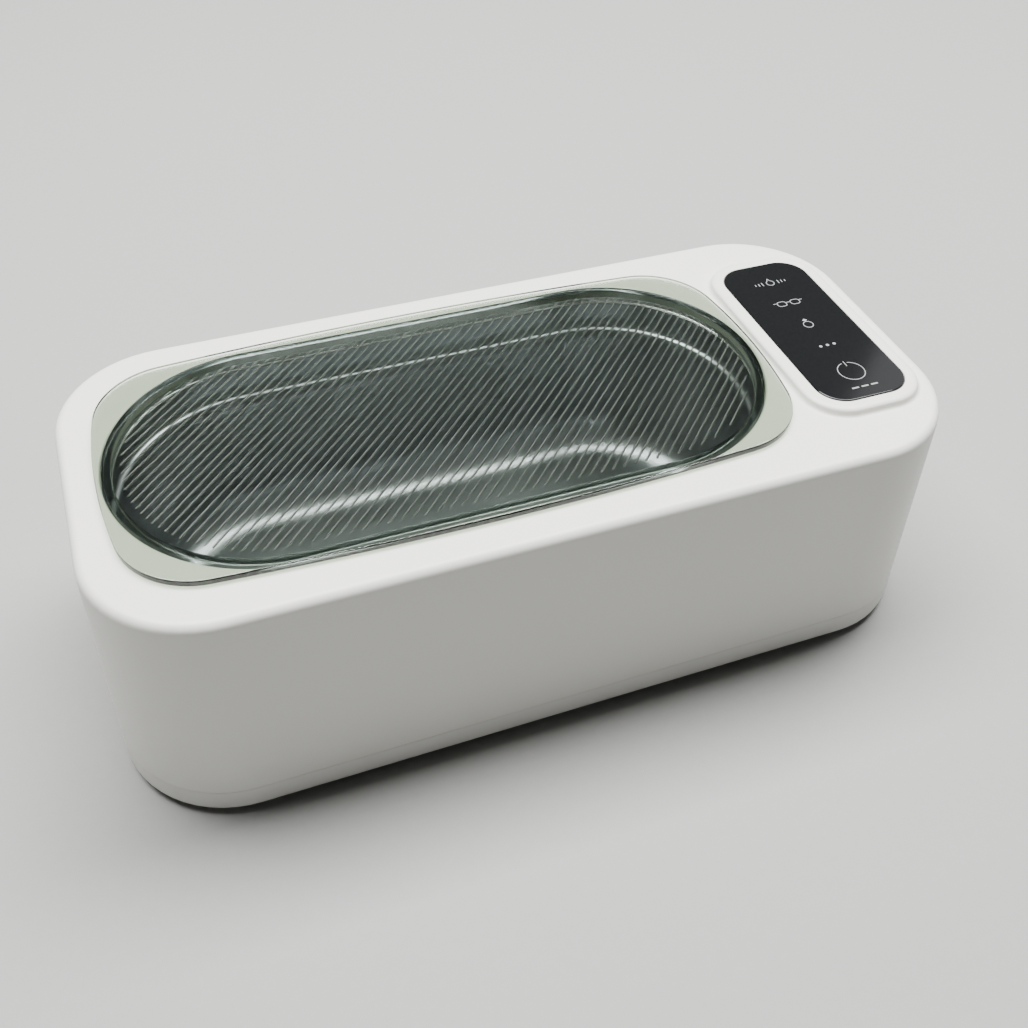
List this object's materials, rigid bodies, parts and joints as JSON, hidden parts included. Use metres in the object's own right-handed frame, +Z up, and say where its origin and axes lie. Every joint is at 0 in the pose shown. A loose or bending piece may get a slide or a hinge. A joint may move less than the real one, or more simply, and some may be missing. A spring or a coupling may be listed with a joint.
{
  "type": "ultrasonic cleaner",
  "caption": "Small ultrasonic cleaner: long rounded white body, obround steel tank under a lift-off ribbed clear lid, and a raised touch panel at one end.",
  "frame": {"origin": "on the surface that the feet stand on, under the middle of the body", "axes": "+X along the length towards the control panel, -Y is the front, +Z up"},
  "size_m": [0.2018, 0.094, 0.0646],
  "materials": {
    "housing_abs": "satin white ABS",
    "base_abs": "satin white ABS",
    "lid_plastic": "grey-green tinted, clear",
    "tank_steel": "drawn and polished stainless steel",
    "silicone": "matt",
    "screw_steel": "zinc plated",
    "ceramic": "silvered piezo ceramic",
    "epoxy": "cured adhesive",
    "red_pvc": "wire insulation",
    "black_pvc": "wire insulation",
    "lens_acrylic": "glossy black, back printed",
    "mask_abs": "moulded black",
    "circuit_board": "green solder mask",
    "chip_epoxy": "moulded black",
    "led_resin": "clear resin over phosphor",
    "ferrite": "sintered",
    "winding_tape": "yellow tape",
    "copper_wire": "enamelled copper",
    "aluminium": "extruded",
    "capacitor_sleeve": "shrink sleeve",
    "fuse_body": "moulded",
    "white_nylon": "moulded",
    "black_nylon": "moulded",
    "ribbon_pvc": "flat cable",
    "foot_rubber": "matt"
  },
  "bodies": {
    "base": {"upper_housing": "housing_abs", "base_cover": "base_abs", "tank": "tank_steel", "tank_gasket": "silicone", "tank_screw_1": "screw_steel", "tank_screw_2": "screw_steel", "tank_screw_3": "screw_steel", "tank_screw_4": "screw_steel", "tank_screw_5": "screw_steel", "tank_screw_6": "screw_steel", "transducer_disc": "ceramic", "transducer_bond": "epoxy", "transducer_lead_red": "red_pvc", "transducer_lead_black": "black_pvc", "panel_lens": "lens_acrylic", "light_mask": "mask_abs", "touch_board": "circuit_board", "touch_board_screw_1": "screw_steel", "touch_board_screw_2": "screw_steel", "touch_chip": "chip_epoxy", "touch_spring": "screw_steel", "mode_led_1": "led_resin", "mode_led_2": "led_resin", "mode_led_3": "led_resin", "mode_led_4": "led_resin", "power_led": "led_resin", "main_board": "circuit_board", "main_board_screw_1": "screw_steel", "main_board_screw_2": "screw_steel", "main_board_screw_3": "screw_steel", "main_board_screw_4": "screw_steel", "transformer_core": "ferrite", "transformer_winding": "winding_tape", "choke": "copper_wire", "heatsink": "aluminium", "power_transistor": "chip_epoxy", "capacitor_1": "capacitor_sleeve", "capacitor_2": "capacitor_sleeve", "fuse": "fuse_body", "control_chip": "chip_epoxy", "transducer_connector": "white_nylon", "panel_connector": "white_nylon", "power_connector": "white_nylon", "panel_ribbon_cable": "ribbon_pvc", "dc_jack": "black_nylon", "jack_lead_red": "red_pvc", "jack_lead_black": "black_pvc", "base_screw_1": "screw_steel", "base_screw_2": "screw_steel", "base_screw_3": "screw_steel", "base_screw_4": "screw_steel", "foot_1": "foot_rubber", "foot_2": "foot_rubber", "foot_3": "foot_rubber", "foot_4": "foot_rubber"},
    "lid": {"lid": "lid_plastic"}
  },
  "joints": [
    {"name": "lid_lift", "type": "slide", "parent": "base", "child": "lid", "axis": [0, 0, 1], "range_m": [0, 0.08]}
  ]
}
